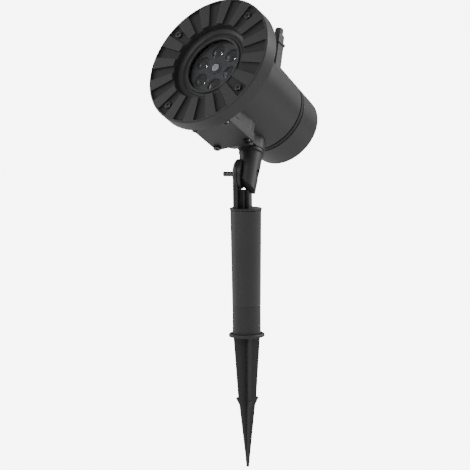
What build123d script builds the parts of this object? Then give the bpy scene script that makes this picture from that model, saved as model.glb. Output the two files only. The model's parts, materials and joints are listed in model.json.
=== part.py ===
from build123d import *
from math import asin, atan2, cos, degrees, pi, radians, sin, sqrt, tan
import os

# Garden light projector on a ground stake, in millimetres.
# The origin is on the stake's axis at ground level, which is the flange's underside.
# +Z is up, +X runs along the tilt hinge, and the front is towards -Y.

# Stake and spike
spike_length = 109.0
spike_width = 22.0
spike_waist_width = 15.0
spike_waist_depth = 57.0
barb_width = 19.0
barb_height = 7.0
barb_stagger = 2.0
fin_thickness = 2.6
fin_turn = 27.0
flange_reach = 3.1
flange_height = 2.6
flange_dish = 0.9
flange_round = 1.1
spike_tip_width = 1.8
spike_tip_length = 3.0
socket_top = 25.4
tube_length = 78.1
tube_bore = 20.4
tube_bottom_wall = 1.45
tube_top_wall = 2.45
socket_step = 0.1
tube_top = socket_top + tube_length
tube_bottom_diameter = tube_bore + 2 * tube_bottom_wall
tube_top_diameter = tube_bore + 2 * tube_top_wall
socket_diameter = tube_bottom_diameter - 2 * socket_step
flange_diameter = socket_diameter + 2 * flange_reach
spigot_length = 20.0
spigot_wall = 2.4
plug_fit = 0.1
tube_chamfer = 0.5

# Pivot stem and tilt hinge
rim_reach = 0.45
rim_height = 1.6
rim_round = 0.5
lug_rise = 27.3
rim_diameter = tube_top_diameter + 2 * rim_reach
pivot_height = tube_top + rim_height + lug_rise
lug_radius = 12.2
lug_thickness = 4.4
lug_dome = 2.6
strip_inset = 0.4
strip_overlap = 0.1
mating_plane = -5.0
stem_depth = 16.0
web_thickness = 3.0
web_right = 4.2
rib_thickness = 1.2
knuckle_clearance = 0.6
face_gap = 0.3
bolt_diameter = 4.0
bolt_tail = 9.0
bolt_fit = 0.08
bolt_head_diameter = 7.4
bolt_head_height = 2.6
bolt_recess_length = 4.6
bolt_recess_width = 0.9
bolt_recess_depth = 1.3
bolt_chamfer = 0.4
nut_flats = 7.0
nut_thickness = 3.2
nut_fit = 0.05
nut_thread_fit = 0.02

# Neck knuckle
lean = 35.4
neck_offset = 2.6
knuckle_disc = 2.5
knuckle_end_inset = 0.2
knuckle_end_radius = lug_radius - knuckle_end_inset
knuckle_side_wall = 0.8
knuckle_taper = 13.0
knuckle_foot_inset = 1.6
knuckle_pivot_radius = 7.6
knuckle_top_radius = 9.5
collar_radius = 10.4
collar_height = 2.5
collar_bevel = 0.6
head_recess_depth = 4.2
head_recess_gap = 0.4
swivel = 23.4
swivel_gap = 0.3
swivel_pin_radius = 5.8
swivel_fit = 0.06
pin_rise = 0.1
swivel_screw_length = 13.0
washer_thickness = 1.0
washer_overhang = 2.4
washer_gap = 0.15
swivel_thread_fit = 0.02
swivel_head_radius = 3.6
swivel_head_height = 2.2
swivel_recess_length = 4.4
swivel_recess_width = 1.0
swivel_screw_radius = 2.0

# Lamp body
axis_height = 65.4
neck_depth = 73.9
bezel_radius = 57.0
bezel_depth = 13.0
bezel_opening = 34.0
bezel_plate = 4.5
bezel_wall = 2.0
bezel_fit = 0.4
bezel_edge = 0.8
throat_depth = 5.6
throat_wall = 1.4
throat_back = 8.8
lip_rise = 2.1
lip_bevel = 0.6
lip_width = 2.2
lip_step = 0.9
lip_shelf = 4.6
lip_bump = 0.3
lip_outer = 6.1
lip_drop = 0.4
window_fit = 0.2
window_wall = 3.6
pocket_count = 16
pocket_depth = 1.8
pocket_margin = 1.8
pocket_radius = bezel_radius - pocket_margin
window_lip_radius = 23.5
window_front = 9.4
window_thickness = 1.8
gasket_thickness = 1.2
gasket_out = 2.0
gasket_in = 1.0
window_overlap = 3.5
window_radius = window_lip_radius + window_overlap
screw_inset = 9.3
screw_circle = bezel_radius - screw_inset
screw_head_radius = 3.0
screw_head_height = 1.7
screw_radius = 1.5
screw_fit = 0.05
screw_hole_fit = 0.2
screw_pad = 0.6
screw_head_round = 0.8
recess_length = 3.2
recess_width = 0.8
recess_depth = 0.9
body_front_radius = 39.2
body_rear_radius = 31.5
body_rear = 118.0
body_wall = 2.4
flange_thickness = 2.5
body_end = 88.0
groove_width = 1.0
groove_depth = 1.0
band_width = 2.9
band_front = body_end + groove_width
band_rear = band_front + band_width
cap_front = band_rear + groove_width

# Slide tower
tower_half_width = 34.1
tower_front = 45.5
tower_rear = 53.6
tower_height = 37.8
tower_lip = 0.8
tower_lip_height = 2.1
cap_height = 7.7
slot_half_width = 27.0
slot_width = 4.5
knob_radius = 3.5
knob_inset = 3.7
knob_spacing = 2 * (tower_half_width - knob_inset)
knob_height = 5.7
knob_gap = 0.1
knob_flute_radius = 0.6
knob_flute_out = 0.35
knob_slot_width = 0.9
knob_screw_fit = 0.1
knob_screw_grip = 9.0
knob_hole_depth = 12.0
cap_gap = 0.05
cap_round = 1.2
slide_clearance = 0.4
slide_thickness = 3.0
slide_aperture = 17.0
slide_bottom = 20.0
guide_thickness = 1.6
rail_width = 1.8
rail_length = 26.0
rail_drop = 3.0
rest_length = 30.0
film_thickness = 1.0
film_overlap = 1.4
film_fit = 0.1

# Lower compartment
box_half_width = 18.3
box_rear = 51.5
box_shoulder = 29.0
box_step = 1.6
cover_top = 44.0
cover_bottom = 52.0
box_wall = 2.0
box_top = 20.0
cover_front_margin = 3.2
cover_rear_margin = 4.8
cover_side_margin = 3.9
cover_screw_front = bezel_depth + cover_front_margin
cover_screw_rear = box_rear - cover_rear_margin
cover_screw_side = box_half_width - cover_side_margin
cover_post_radius = 2.5
cover_post_length = 12.0
cover_hole_depth = 10.0
cover_gap = 0.1
cover_corner = 1.5
cover_boss_radius = 3.2
cover_screw_grip = 8.0
gusset_half_width = 9.0
gusset_gap = 0.7
gusset_rear = neck_depth - collar_radius - gusset_gap
gusset_front_drop = 51.0
gusset_rear_drop = 46.3
boss_step = 0.4
boss_radius = collar_radius + boss_step
boss_bottom = 44.0
boss_top = 30.6
boss_pad_margin = 2.8
boss_pad_rise = 1.6
collar_top = axis_height - boss_bottom - swivel_gap
collar_bottom = collar_top - collar_height

# Lens wheel and its drive
wheel_front = 12.7
wheel_plate = 2.9
wheel_gear = 2.8
wheel_plate_radius = 23.6
lens_count = 6
lens_ring = 16.2
lens_radius = 6.2
lens_fit = 0.05
lens_dome = 1.5
gear_module = 1.0
wheel_teeth = 50
pinion_teeth = 12
tooth_backlash = 0.12
tooth_root_overlap = 0.4
wheel_bore = 4.1
pressure_angle = 20.0
addendum = 0.95
dedendum = 1.25
flank_points = 5
hub_ring_radius = 5.2
hub_ring_width = 1.0
hub_ring_height = 0.7
lens_setback = 0.4
lens_edge = 2.4
wheel_screw_gap = 0.2
wheel_screw_radius = 3.4
wheel_screw_height = 1.1
wheel_screw_round = 0.5
wheel_recess_length = 3.6
wheel_recess_depth = 0.6
axle_fit = 0.05
bracket_front = 20.6
bracket_thickness = 2.4
bracket_gap = 0.3
bracket_edge = 0.2
bracket_ring = 5.0
bracket_arm = 2.4
bracket_hub_radius = 5.0
bracket_pad = 14.0
bracket_boss_radius = 4.4
boss_tail = 4.0
axle_hole_fit = 0.02
motor_radius = 8.0
motor_length = 20.0
motor_shaft_radius = 1.0
motor_nose_radius = 2.2
motor_round = 0.8
motor_ear = 5.0
motor_ear_thickness = 1.2
motor_hole_radius = 1.0
motor_screw_radius = 0.95
motor_screw_head_radius = 1.8
motor_screw_head_height = 1.2
motor_tag_spacing = 7.0
motor_tag_width = 2.2
motor_tag_thickness = 0.6
motor_tag_length = 2.5
shaft_end_gap = 0.4
pinion_fit = 0.05
motor_screw_spacing = 20.4

# Rear cap and its screws
post_radius = 3.2
post_circle = 26.5
post_front = 66.0
post_rib_length = 7.4
post_rib_out = 3.6
post_gap = 0.1
post_hole_depth = 12.0
spigot_front = 83.5
spigot_radius = 31.0
cap_screw_seat = 2.2
cap_screw_grip = 8.0
cap_seat_gap = 0.3
cap_wall = 2.6
cap_fit = 0.05
cap_edge = 0.8
gland_flats = 16.0
gland_hex_height = 3.5
gland_radius = 7.2
gland_height = 7.0
gland_round = 2.5
gland_thread_radius = 6.0
gland_thread_length = 9.0
gland_bore_radius = 3.0
gland_nut_height = 3.0

# Light engine
condenser_front = 58.0
board_depth = 79.0
sink_radius = 20.0
sink_screw_circle = 15.0
sink_rear = 103.0
sink_base = 3.2
sink_fin = 1.6
sink_fin_pitch = 4.6
sink_fin_count = 8
sink_fin_inset = 0.4
sink_post_radius = 3.4
sink_screw_gap = 0.6
sink_screw_length = 12.0
sink_screw_head_radius = 2.4
sink_screw_head_height = 1.4
board_thickness = 1.6
emitter_side = 7.0
emitter_height = 1.2
emitter_dome_radius = 2.8
emitter_dome_height = 0.8
holder_radius = 20.0
holder_wall = 2.0
holder_gap = 0.1
holder_shelf = 4.0
holder_shelf_depth = 6.0
holder_shelf_thickness = 1.6
condenser_fit = 0.1
condenser_seat = 0.05
condenser_edge = 2.0
condenser_crown = 8.5
driver_width = 18.0
driver_height = 14.0
driver_gap = 1.0
driver_chip_spacing = 9.0
driver_chip_width = 5.0
driver_chip_height = 8.0
driver_chip_depth = 0.9

# Reference frames
up_neck = (0, sin(radians(lean)), cos(radians(lean)))
neck = Plane(origin=(neck_offset, 0, pivot_height), x_dir=(1, 0, 0), z_dir=up_neck)
turned_side = neck.x_dir * cos(radians(swivel)) - neck.y_dir * sin(radians(swivel))
turned = Plane(origin=neck.origin, x_dir=turned_side, z_dir=neck.z_dir)
face_centre = turned.origin + turned.z_dir * axis_height - turned.y_dir * neck_depth
# On the head plane, x is to the lamp's side, y is down its neck and z is the depth behind its face.
head = Plane(origin=face_centre, x_dir=turned.x_dir, z_dir=turned.y_dir)
# On the head section, x is the radius and y is the depth.
head_section = Plane(origin=face_centre, x_dir=head.x_dir, z_dir=head.y_dir * -1)
head_axis = Axis(head.origin, head.z_dir)
# The hinge plane looks along +X, with x along +Y and y along +Z.
hinge = Plane(origin=(0, 0, pivot_height), x_dir=(0, 1, 0), z_dir=(1, 0, 0))
hinge_axis = Axis(hinge.origin, hinge.z_dir)
hinge_section = Plane(origin=hinge.origin, x_dir=(1, 0, 0), z_dir=(0, -1, 0))


def body_radius(depth):
    """Outer radius of the tapering lamp body at a depth behind the bezel's face."""
    share = (depth - bezel_depth) / (body_rear - bezel_depth)
    return body_front_radius + (body_rear_radius - body_front_radius) * share


def head_plane(side, drop, depth):
    """The head plane moved to a point given by side, drop and depth."""
    place = head.origin + head.x_dir * side + head.y_dir * drop + head.z_dir * depth
    return Plane(origin=place, x_dir=head.x_dir, z_dir=head.z_dir)


def drop_plane(side, drop, depth):
    """A plane across the neck, with x to the side, y forward and z down the neck."""
    place = head_plane(side, drop, depth).origin
    return Plane(origin=place, x_dir=head.x_dir, z_dir=head.y_dir)


def dome(edge_radius, crown, seat=0.0):
    """Arc of a round dome from its edge to its crown, on a section with its centre at x = 0."""
    rise = abs(crown - seat)
    ball = (edge_radius**2 + rise**2) / (2 * rise)
    half = asin(edge_radius / ball) / 2
    sign = 1 if crown > seat else -1
    middle = (ball * sin(half), crown - sign * ball * (1 - cos(half)))
    return ThreePointArc((edge_radius, seat), middle, (0, crown))


def write(piece, name):
    """Label a finished piece and write its file."""
    piece.part.label = name
    export_step(piece.part, f"parts/{name}.step")


os.makedirs("parts", exist_ok=True)


# Ground spike: crossed fins with barbs, a dished flange and the socket the tube stands on
with BuildPart() as ground_spike:
    for quarter, barb_drop in ((0, 0), (90, barb_stagger)):
        fin_plane = Plane.XZ.rotated((0, 0, fin_turn + quarter))
        barb_top = -spike_waist_depth + barb_height - barb_drop
        with BuildSketch(fin_plane):
            with BuildLine():
                edge = Polyline(
                    (0, 0),
                    (spike_width / 2, 0),
                    (spike_waist_width / 2, barb_top),
                    (barb_width / 2, barb_top - 1),
                    (spike_waist_width / 2 - 1, barb_top - barb_height),
                    (spike_tip_width / 2, spike_tip_length - spike_length),
                    (0, -spike_length),
                )
                mirror(edge, about=Plane.YZ)
            make_face()
        extrude(amount=fin_thickness / 2, both=True)
    with BuildSketch(Plane.XY):
        Circle(flange_diameter / 2)
    extrude(amount=flange_height)
    fillet(ground_spike.edges().filter_by(GeomType.CIRCLE).sort_by(Axis.Z)[-1], flange_round)
    with BuildSketch(Plane.XY.offset(flange_height)):
        Circle(flange_diameter / 2 - 2)
    extrude(amount=-flange_dish, mode=Mode.SUBTRACT)
    with BuildSketch(Plane.XY.offset(flange_height - flange_dish)):
        Circle(socket_diameter / 2)
    extrude(amount=socket_top - flange_height + flange_dish)
    with BuildSketch(Plane.XY.offset(socket_top)):
        Circle(tube_bore / 2 - plug_fit)
    extrude(amount=spigot_length)
    with BuildSketch(Plane.XY.offset(flange_height)):
        Circle(tube_bore / 2 - plug_fit - spigot_wall)
    extrude(amount=socket_top + spigot_length, mode=Mode.SUBTRACT)
write(ground_spike, "ground_spike")

# Stake tube, slightly wider at its top
with BuildPart() as stake_tube:
    with BuildSketch(Plane.XY.offset(socket_top)):
        Circle(tube_bottom_diameter / 2)
    with BuildSketch(Plane.XY.offset(tube_top)):
        Circle(tube_top_diameter / 2)
    loft()
    with BuildSketch(Plane.XY.offset(socket_top)):
        Circle(tube_bore / 2)
    extrude(amount=tube_top - socket_top, mode=Mode.SUBTRACT)
    chamfer(stake_tube.edges().group_by(Axis.Z)[-1].sort_by(SortBy.RADIUS)[-1], tube_chamfer)
write(stake_tube, "stake_tube")

# Pivot stem: a plug and rim in the tube, a ribbed web and the round hinge lug
stem_bottom = tube_top + rim_height
stem_top = pivot_height - knuckle_end_radius - knuckle_clearance
lug_outer = mating_plane - lug_thickness
strip_width = lug_thickness - strip_inset
with BuildPart() as pivot_stem:
    with BuildSketch(Plane.XY.offset(tube_top)):
        Circle(rim_diameter / 2)
    extrude(amount=rim_height)
    fillet(pivot_stem.edges().sort_by(Axis.Z)[-1], rim_round)
    with BuildSketch(Plane.XY.offset(tube_top)):
        Circle(tube_bore / 2 - plug_fit)
        Circle(tube_bore / 2 - plug_fit - spigot_wall, mode=Mode.SUBTRACT)
    extrude(amount=-spigot_length)
    with BuildSketch(Plane.XY.offset(stem_bottom)):
        with Locations(((mating_plane - strip_width / 2 + strip_overlap), 0)):
            Rectangle(strip_width, stem_depth)
    extrude(amount=pivot_height - stem_bottom)
    with BuildSketch(Plane.XY.offset(stem_bottom)):
        with Locations(((mating_plane + web_right) / 2, 0)):
            Rectangle(web_right - mating_plane, web_thickness)
        with Locations((web_right - rib_thickness / 2, 0)):
            Rectangle(rib_thickness, stem_depth - 4)
        with Locations(((mating_plane + web_right) / 2, 0)):
            Rectangle(rib_thickness, stem_depth - 6)
    extrude(amount=stem_top - stem_bottom)
    with BuildSketch(hinge_section):
        with BuildLine():
            Line((mating_plane, 0), (mating_plane, lug_radius))
            Line((mating_plane, lug_radius), (lug_outer + lug_dome, lug_radius))
            rounded_end = (lug_outer, lug_radius - 2 * lug_dome)
            RadiusArc((lug_outer + lug_dome, lug_radius), rounded_end, -3 * lug_dome)
            Polyline(rounded_end, (lug_outer, 0), (mating_plane, 0))
        make_face()
    revolve(axis=hinge_axis)
    with BuildSketch(hinge.offset(mating_plane)):
        Circle(lug_radius)
    extrude(amount=stem_depth, mode=Mode.SUBTRACT)
    with BuildSketch(hinge.offset(mating_plane)):
        RegularPolygon(nut_flats / 2 + nut_fit, 6, major_radius=False)
    extrude(amount=-nut_thickness - 2 * nut_fit, mode=Mode.SUBTRACT)
    with BuildSketch(hinge.offset(mating_plane)):
        Circle(bolt_diameter / 2 + bolt_fit)
    extrude(amount=-2 * lug_thickness, mode=Mode.SUBTRACT)
write(pivot_stem, "pivot_stem")

# Hinge nut, held in the lug's hexagonal pocket
with BuildPart() as hinge_nut:
    with BuildSketch(hinge.offset(mating_plane - nut_fit)):
        RegularPolygon(nut_flats / 2, 6, major_radius=False)
        Circle(bolt_diameter / 2 + nut_thread_fit, mode=Mode.SUBTRACT)
    extrude(amount=-nut_thickness)
write(hinge_nut, "hinge_nut")

# Neck knuckle: the collar under the lamp, the arm and the disc that faces the lug
knuckle_right = neck_offset + knuckle_pivot_radius + knuckle_side_wall
neck_section = Plane(origin=neck.origin, x_dir=neck.x_dir, z_dir=neck.y_dir * -1)
neck_axis = Axis(neck.origin, neck.z_dir)
head_seat = knuckle_right - head_recess_depth
with BuildPart() as neck_knuckle:
    with BuildSketch(neck_section):
        with BuildLine():
            Polyline(
                (0, -knuckle_end_radius - 1),
                (knuckle_pivot_radius - knuckle_foot_inset, -knuckle_end_radius - 1),
                (knuckle_pivot_radius, 0),
                (knuckle_top_radius, collar_bottom),
                (collar_radius, collar_bottom + collar_bevel),
                (collar_radius, collar_top),
                (0, collar_top),
                close=True,
            )
        make_face()
    revolve(axis=neck_axis)
    with BuildSketch(neck.offset(-knuckle_end_radius - 2)):
        Rectangle(4 * collar_radius, 4 * collar_radius)
    extrude(amount=knuckle_end_radius + 2, mode=Mode.SUBTRACT)
    with BuildSketch(hinge.offset(mating_plane + face_gap)):
        Circle(knuckle_end_radius)
    extrude(amount=knuckle_disc)
    with BuildSketch(hinge.offset(mating_plane + face_gap + knuckle_disc)):
        Circle(knuckle_end_radius)
    extrude(amount=knuckle_right - mating_plane - face_gap - knuckle_disc, taper=knuckle_taper)
    with BuildSketch(hinge.offset(mating_plane + face_gap)):
        Circle(lug_radius + knuckle_clearance)
    extrude(amount=-stem_depth, mode=Mode.SUBTRACT)
    with BuildSketch(neck.offset(collar_top)):
        Circle(swivel_pin_radius)
    pin_top = axis_height - boss_top + pin_rise
    extrude(amount=pin_top - collar_top)
    with BuildSketch(neck.offset(pin_top)):
        Circle(swivel_screw_radius)
    extrude(amount=-swivel_screw_length - 1, mode=Mode.SUBTRACT)
    with BuildSketch(hinge.offset(head_seat)):
        Circle(bolt_head_diameter / 2 + head_recess_gap)
    extrude(amount=2 * head_recess_depth, mode=Mode.SUBTRACT)
    with BuildSketch(hinge.offset(mating_plane)):
        Circle(bolt_diameter / 2 + bolt_fit)
    extrude(amount=knuckle_right - mating_plane, mode=Mode.SUBTRACT)
write(neck_knuckle, "neck_knuckle")

# Hinge bolt: a pan head in the knuckle's recess and a long threaded tail past the lug
with BuildPart() as hinge_bolt:
    bolt_seat = head_seat + face_gap
    with BuildSketch(hinge.offset(bolt_seat)):
        Circle(bolt_head_diameter / 2)
    extrude(amount=bolt_head_height)
    fillet(hinge_bolt.edges().sort_by(Axis.X)[-1], 1.0)
    with BuildSketch(hinge.offset(bolt_seat + bolt_head_height)):
        Rectangle(bolt_recess_length, bolt_recess_width)
        Rectangle(bolt_recess_width, bolt_recess_length)
    extrude(amount=-bolt_recess_depth, mode=Mode.SUBTRACT)
    with BuildSketch(hinge.offset(bolt_seat)):
        Circle(bolt_diameter / 2)
    extrude(amount=lug_outer - bolt_tail - bolt_seat)
    chamfer(hinge_bolt.edges().sort_by(Axis.X)[0], bolt_chamfer)
write(hinge_bolt, "hinge_bolt")

# Lamp housing: the tapering body with its front flange, slide tower, lower compartment and neck boss
tower_middle = (tower_front + tower_rear) / 2
flange_radius = bezel_radius - bezel_wall - bezel_fit
cover_screws = [(side * cover_screw_side, depth) for side in (-1, 1)
                for depth in (cover_screw_front, cover_screw_rear)]
with BuildPart() as lamp_housing:
    with BuildSketch(head_section):
        with BuildLine():
            Polyline(
                (0, bezel_depth - flange_thickness),
                (flange_radius, bezel_depth - flange_thickness),
                (flange_radius, bezel_depth),
                (body_front_radius, bezel_depth),
                (body_radius(body_end), body_end),
                (0, body_end),
                close=True,
            )
        make_face()
    revolve(axis=head_axis)
    with BuildSketch(head_plane(0, 0, bezel_plate)):
        with PolarLocations(screw_circle, 4, start_angle=45):
            Circle(screw_head_radius + screw_pad)
    extrude(amount=bezel_depth - bezel_plate - 1)
    with BuildSketch(head_plane(0, 0, tower_front)):
        with Locations((0, -tower_height / 2)):
            Rectangle(2 * tower_half_width, tower_height)
    extrude(amount=tower_rear - tower_front)
    with BuildSketch(head_plane(0, 0, tower_front - tower_lip)):
        with Locations((0, -tower_height + tower_lip_height / 2)):
            Rectangle(2 * (tower_half_width + tower_lip), tower_lip_height)
    extrude(amount=tower_rear - tower_front + 2 * tower_lip)
    with BuildSketch(head_plane(0, 0, bezel_depth)):
        with Locations((0, cover_top / 2)):
            Rectangle(2 * box_half_width, cover_top)
    extrude(amount=box_shoulder - bezel_depth)
    with BuildSketch(head_plane(0, 0, box_shoulder)):
        with Locations((0, cover_top / 2)):
            Rectangle(2 * (box_half_width - box_step), cover_top)
    extrude(amount=box_rear - box_shoulder)
    gusset_plane = Plane(origin=head.origin, x_dir=head.z_dir, z_dir=head.x_dir * -1)
    with BuildSketch(gusset_plane):
        with BuildLine():
            Polyline(
                (box_rear, 0),
                (box_rear, gusset_front_drop),
                (gusset_rear, gusset_rear_drop),
                (gusset_rear, boss_bottom),
                (neck_depth, boss_bottom),
                (neck_depth, 0),
                close=True,
            )
        make_face()
    extrude(amount=gusset_half_width, both=True)
    with BuildSketch(drop_plane(0, boss_bottom, neck_depth)):
        Circle(boss_radius)
    extrude(amount=-boss_bottom)
    # the hollow inside the body
    with BuildSketch(head_section):
        with BuildLine():
            Polyline(
                (0, bezel_depth - 2 * flange_thickness),
                (body_front_radius - body_wall, bezel_depth - 2 * flange_thickness),
                (body_front_radius - body_wall, bezel_depth),
                (body_radius(body_end) - body_wall, body_end),
                (0, body_end),
                close=True,
            )
        make_face()
    revolve(axis=head_axis, mode=Mode.SUBTRACT)
    # slide slot
    with BuildSketch(head_plane(0, 0, tower_middle - slot_width / 2)):
        with Locations((0, -tower_height / 2 - 1)):
            Rectangle(2 * slot_half_width, tower_height + 2)
    extrude(amount=slot_width, mode=Mode.SUBTRACT)
    with BuildSketch(drop_plane(0, -tower_height, tower_middle)):
        with GridLocations(knob_spacing, 1, 2, 1):
            Circle(screw_radius)
    extrude(amount=knob_hole_depth, mode=Mode.SUBTRACT)
    # open compartment
    with BuildSketch(head_plane(0, 0, bezel_depth + box_wall)):
        with Locations((0, (cover_top + box_top) / 2)):
            Rectangle(2 * (box_half_width - box_step - box_wall), cover_top - box_top + 1)
    extrude(amount=box_rear - bezel_depth - 2 * box_wall, mode=Mode.SUBTRACT)
    # screw posts for the cover, the bezel and the rear cap
    for side, depth in cover_screws:
        with BuildSketch(drop_plane(side, cover_top - cover_post_length, depth)):
            Circle(cover_post_radius)
        extrude(amount=cover_post_length)
    with BuildSketch(head_plane(0, 0, post_front)):
        with PolarLocations(post_circle, 3, start_angle=-90):
            Circle(post_radius)
        with PolarLocations(post_circle + post_rib_out, 3, start_angle=-90):
            Rectangle(post_rib_length, body_wall)
    extrude(amount=spigot_front - post_front - post_gap)
    # pad inside the boss, then the swivel bore and the screws' holes
    with BuildSketch(drop_plane(0, boss_top, neck_depth)):
        Circle(swivel_pin_radius + boss_pad_margin)
    extrude(amount=body_wall + boss_pad_rise)
    with BuildSketch(drop_plane(0, boss_bottom, neck_depth)):
        Circle(swivel_pin_radius + swivel_fit)
    extrude(amount=-boss_bottom / 2, mode=Mode.SUBTRACT)
    with BuildSketch(head_plane(0, 0, bezel_plate)):
        with PolarLocations(screw_circle, 4, start_angle=45):
            Circle(screw_radius)
    extrude(amount=bezel_depth - bezel_plate - 1, mode=Mode.SUBTRACT)
    with BuildSketch(head_plane(0, 0, spigot_front)):
        with PolarLocations(post_circle, 3, start_angle=-90):
            Circle(screw_radius)
    extrude(amount=-post_hole_depth, mode=Mode.SUBTRACT)
    for side, depth in cover_screws:
        with BuildSketch(drop_plane(side, cover_top, depth)):
            Circle(screw_radius)
        extrude(amount=-cover_hole_depth, mode=Mode.SUBTRACT)
write(lamp_housing, "lamp_housing")

# Bezel: a round front ring with recessed pockets and a lipped opening for the window
throat_foot = (window_lip_radius + lip_outer, window_front - lip_drop)
with BuildPart() as bezel_ring:
    with BuildSketch(head_section):
        with BuildLine():
            Polyline(
                (bezel_opening - bezel_edge, throat_depth),
                (bezel_opening, 0),
                (bezel_radius - bezel_edge, 0),
                (bezel_radius, bezel_edge),
                (bezel_radius, bezel_depth),
                (bezel_radius - bezel_wall, bezel_depth),
                (bezel_radius - bezel_wall, bezel_plate),
                (bezel_opening + 3, bezel_plate),
                (bezel_opening + throat_wall, throat_back),
                (window_radius + window_wall, window_front + window_thickness),
                (window_radius + window_fit, window_front + window_thickness),
                (window_radius + window_fit, window_front),
                (window_lip_radius, window_front),
                (window_lip_radius, window_front - lip_rise + lip_bump),
                (window_lip_radius + lip_bevel, window_front - lip_rise),
                (window_lip_radius + lip_width, window_front - lip_rise),
                (window_lip_radius + lip_width + lip_drop, window_front - lip_step),
                (window_lip_radius + lip_shelf, window_front - lip_step),
                (window_lip_radius + lip_shelf + lip_bump, window_front - lip_drop),
                throat_foot,
            )
            TangentArc(throat_foot, (bezel_opening - bezel_edge, throat_depth), tangent=(1, 0))
        make_face()
    revolve(axis=head_axis)
    with BuildSketch(head):
        with PolarLocations(0, pocket_count):
            half_angle = radians(180 / pocket_count / 2)
            reach = bezel_radius + 2
            Polygon(
                (0, 0),
                (reach, -reach * tan(half_angle)),
                (reach, reach * tan(half_angle)),
                align=None,
            )
        Circle(pocket_radius, mode=Mode.INTERSECT)
    extrude(amount=pocket_depth, mode=Mode.SUBTRACT)
    with BuildSketch(head):
        with PolarLocations(screw_circle, 4, start_angle=45):
            Circle(screw_radius + screw_hole_fit)
    extrude(amount=bezel_plate, mode=Mode.SUBTRACT)
write(bezel_ring, "bezel_ring")

# Bezel screws: cross-slot pan heads in four of the pockets
with BuildPart() as bezel_screws:
    with BuildSketch(head_plane(0, 0, pocket_depth)):
        with PolarLocations(screw_circle, 4, start_angle=45):
            Circle(screw_head_radius)
    extrude(amount=-screw_head_height)
    rims = bezel_screws.edges().filter_by(GeomType.CIRCLE)
    front_rims = rims.filter_by(lambda rim: head.to_local_coords(rim.arc_center).Z < pocket_depth - 1)
    fillet(front_rims, screw_head_round)
    with BuildSketch(head_plane(0, 0, pocket_depth - screw_head_height)):
        with PolarLocations(screw_circle, 4, start_angle=45):
            Rectangle(recess_length, recess_width)
            Rectangle(recess_width, recess_length)
    extrude(amount=recess_depth, mode=Mode.SUBTRACT)
    with BuildSketch(head_plane(0, 0, pocket_depth)):
        with PolarLocations(screw_circle, 4, start_angle=45):
            Circle(screw_radius - screw_fit)
    extrude(amount=bezel_depth - pocket_depth - 2)
write(bezel_screws, "bezel_screws")

# Clear window and the rubber ring behind it
with BuildPart() as front_window:
    with BuildSketch(head_plane(0, 0, window_front)):
        Circle(window_radius)
    extrude(amount=window_thickness)
write(front_window, "front_window")

# Lens wheel: a lens plate with a toothed rim behind it
gear_centre = gear_module * (wheel_teeth + pinion_teeth) / 2
gear_front = wheel_front + wheel_plate
wheel_rear = gear_front + wheel_gear


def tooth_points(teeth, side):
    """Points up one involute flank of a gear tooth that is centred on the x axis."""
    pitch = gear_module * teeth / 2
    base = pitch * cos(radians(pressure_angle))
    outer = pitch + gear_module * addendum
    involute = tan(radians(pressure_angle)) - radians(pressure_angle)
    half = (pi * gear_module / 2 - tooth_backlash) / 2 / pitch + involute
    start = max(base, pitch - gear_module)
    points = []
    for step in range(flank_points + 1):
        radius = start + (outer - start) * step / flank_points
        roll = sqrt(max(radius**2 / base**2 - 1, 0))
        angle = half - (roll - atan2(roll, 1))
        points.append((radius * cos(angle), side * radius * sin(angle)))
    return points


def gear_tooth(teeth):
    """One involute tooth as a closed sketch, rooted inside the gear's root circle."""
    right = tooth_points(teeth, -1)
    left = tooth_points(teeth, 1)[::-1]
    root = gear_module * (teeth / 2 - dedendum) - tooth_root_overlap
    with BuildSketch(mode=Mode.PRIVATE) as tooth:
        with BuildLine():
            Spline(*right)
            Line(right[-1], left[0])
            Spline(*left)
            Polyline(left[-1], (root, left[-1][1]), (root, right[0][1]), right[0])
        make_face()
    return tooth.sketch


with BuildPart() as lens_wheel:
    with BuildSketch(head_plane(0, 0, wheel_front)):
        Circle(wheel_plate_radius)
    extrude(amount=wheel_plate)
    with BuildSketch(head_plane(0, 0, gear_front)):
        Circle(gear_module * (wheel_teeth / 2 - dedendum))
        with PolarLocations(0, wheel_teeth):
            add(gear_tooth(wheel_teeth))
    extrude(amount=wheel_gear)
    with BuildSketch(head_plane(0, 0, wheel_front)):
        Circle(hub_ring_radius)
        Circle(hub_ring_radius - hub_ring_width, mode=Mode.SUBTRACT)
    extrude(amount=-hub_ring_height)
    with BuildSketch(head_plane(0, 0, wheel_front - 1)):
        with PolarLocations(lens_ring, lens_count, start_angle=-90):
            Circle(lens_radius)
        Circle(wheel_bore / 2)
    extrude(amount=wheel_rear - wheel_front + 1, mode=Mode.SUBTRACT)
write(lens_wheel, "lens_wheel")

# Six plano-convex lenses set in the wheel
with BuildPart() as wheel_lenses:
    with BuildSketch(head_plane(0, 0, wheel_front + lens_setback)):
        with PolarLocations(lens_ring, lens_count, start_angle=-90):
            Circle(lens_radius - lens_fit)
    extrude(amount=lens_edge)
    for turn in range(lens_count):
        angle = radians(360 / lens_count * turn - 90)
        centre = head_plane(lens_ring * cos(angle), lens_ring * sin(angle), wheel_front + lens_setback)
        lens_section = Plane(origin=centre.origin, x_dir=head.x_dir, z_dir=head.y_dir * -1)
        with BuildSketch(lens_section):
            with BuildLine():
                Line((0, 0), (lens_radius - lens_fit, 0))
                dome(lens_radius - lens_fit, -lens_dome)
                Line((0, -lens_dome), (0, 0))
            make_face()
        revolve(axis=Axis(centre.origin, head.z_dir))
write(wheel_lenses, "wheel_lenses")

# Window gasket, a flat rubber ring between the bezel's back and the body's front
gasket_front = window_front + window_thickness
with BuildPart() as window_gasket:
    with BuildSketch(head_plane(0, 0, gasket_front)):
        Circle(window_radius + gasket_out)
        Circle(window_radius - gasket_in, mode=Mode.SUBTRACT)
    extrude(amount=gasket_thickness)
write(window_gasket, "window_gasket")

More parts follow.
